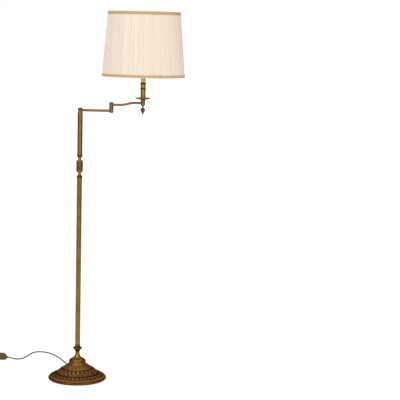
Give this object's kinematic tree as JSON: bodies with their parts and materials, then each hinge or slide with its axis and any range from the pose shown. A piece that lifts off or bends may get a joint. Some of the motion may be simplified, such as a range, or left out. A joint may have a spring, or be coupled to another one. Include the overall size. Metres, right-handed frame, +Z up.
{
  "type": "bridge floor lamp",
  "caption": "Swing-arm floor lamp: weighted round base, slim turned column, hinged arms and a candle lampholder under a pleated shade, with a foot switch on its lead.",
  "frame": {"origin": "centre of the round base on the floor, at the underside of the felt", "axes": "+Z up the column; +X along both arms towards the shade at rest; +Y to the back, where the lead leaves the base"},
  "size_m": [1.025, 0.6305, 1.5714],
  "materials": {
    "felt": "dark felt",
    "cast_iron": "rough black",
    "steel": "zinc plated",
    "antique_brass": "antique patina",
    "plain_brass": "turned",
    "friction_washer": "fibre",
    "ivory_plastic": "satin",
    "lampholder": "satin",
    "holder_core": "glazed",
    "bulb_cap": "thread",
    "bulb_glass": "frosted",
    "white_wire": "white enamel",
    "pleated_fabric": "pleated cream",
    "lining_fabric": "plain lining",
    "gold_braid": "woven braid",
    "cord": "bronze sheath",
    "flex": "thin flex",
    "rubber": "moulded",
    "gold_plastic": "gold brown",
    "plug": "moulded brown",
    "plug_pins": "nickel plated"
  },
  "bodies": {
    "stand": {"felt_pad": "felt", "base_weight": "cast_iron", "base_nut_and_washer": "steel", "column_nipples": "steel", "switch_spring": "steel", "switch_screws": "steel", "base_cover": "antique_brass", "neck_casting": "antique_brass", "disc_collar": "antique_brass", "pole_seat_ring": "antique_brass", "lower_pole": "antique_brass", "knop_rings": "antique_brass", "knop_spools": "antique_brass", "knop_barrel": "antique_brass", "upper_pole": "antique_brass", "pole_cap": "antique_brass", "swivel_cap": "antique_brass", "pole_plugs": "plain_brass", "swivel_pin": "plain_brass", "switch_contacts": "plain_brass", "cord_lead": "cord", "cord_tail": "cord", "cord_coil": "cord", "plug_cord": "cord", "column_cable": "cord", "cord_bush": "rubber", "switch_glands": "rubber", "cord_tie": "rubber", "switch_base": "gold_plastic", "switch_cover": "gold_plastic", "plug_body": "plug", "plug_pins": "plug_pins"},
    "first_arm": {"first_arm_knuckle": "antique_brass", "first_arm_tube": "antique_brass", "elbow_lower_knuckle": "antique_brass", "elbow_pin": "plain_brass", "elbow_washer": "friction_washer", "elbow_cap": "antique_brass", "first_arm_flex": "flex"},
    "second_arm": {"elbow_upper_knuckle": "antique_brass", "second_arm_tube": "antique_brass", "lamp_hub": "antique_brass", "finial": "antique_brass", "drip_pan": "antique_brass", "candle_cup": "antique_brass", "candle_sleeve": "ivory_plastic", "lamp_nipple": "steel", "lampholder_shell": "lampholder", "lampholder_core": "holder_core", "shade_rings": "lampholder", "bulb_cap": "bulb_cap", "bulb_glass": "bulb_glass", "shade_cover": "pleated_fabric", "shade_lining": "lining_fabric", "shade_braids": "gold_braid", "shade_wire_rings": "white_wire", "shade_struts": "white_wire", "shade_spider": "white_wire", "second_arm_flex": "flex"},
    "foot_button": {"switch_button": "gold_plastic"}
  },
  "joints": [
    {"name": "first_arm_swing", "type": "hinge", "parent": "stand", "child": "first_arm", "pos_m": [0, 0, 1.15565], "axis": [0, 0, 1], "range_deg": [-165, 165]},
    {"name": "second_arm_swing", "type": "hinge", "parent": "first_arm", "child": "second_arm", "pos_m": [0.1303, 0, 1.1811], "axis": [0, 0, 1], "range_deg": [-165, 165]},
    {"name": "foot_button_press", "type": "slide", "parent": "stand", "child": "foot_button", "axis": [0, 0, -1], "range_m": [0, 0.0025], "stiffness_N_per_m": 600, "springref_m": -0.002, "deforming": ["switch_spring"]}
  ]
}
